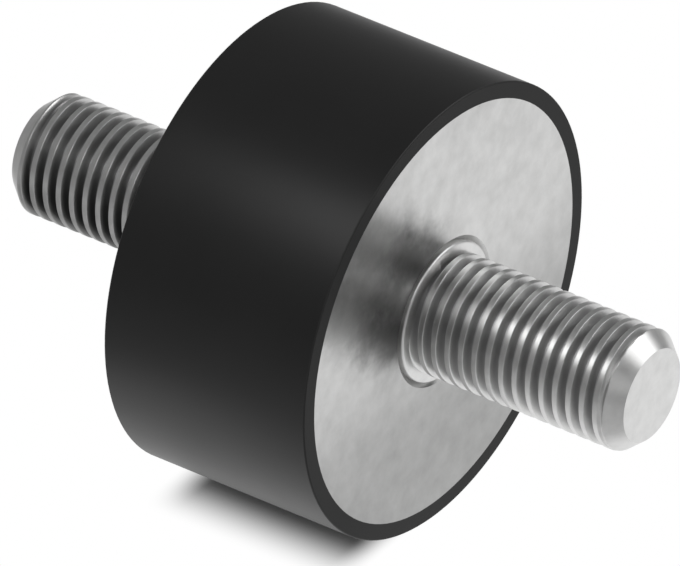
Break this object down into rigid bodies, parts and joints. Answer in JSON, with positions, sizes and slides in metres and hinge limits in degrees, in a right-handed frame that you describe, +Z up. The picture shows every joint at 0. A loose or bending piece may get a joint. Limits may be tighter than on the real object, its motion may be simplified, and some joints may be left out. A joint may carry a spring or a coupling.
{
  "type": "rubber buffer",
  "caption": "Cylindrical rubber buffer with flush steel end plates and a coaxial threaded stud on each end, for vibration-damped mounting.",
  "frame": {"origin": "middle of the rubber body, on its axis", "axes": "+X along the buffer's axis towards the front stud, +Z up with the buffer lying on its round side"},
  "size_m": [0.046, 0.03, 0.03],
  "materials": {
    "rubber": "black, satin, moulded",
    "plate_steel": "zinc plated, semi-gloss with a faint blurry mottling",
    "stud_steel": "zinc plated, glossy thread, satin end faces"
  },
  "bodies": {
    "root": {"rubber_body": "rubber", "front_plate": "plate_steel", "rear_plate": "plate_steel", "front_stud": "stud_steel", "rear_stud": "stud_steel"}
  },
  "joints": []
}
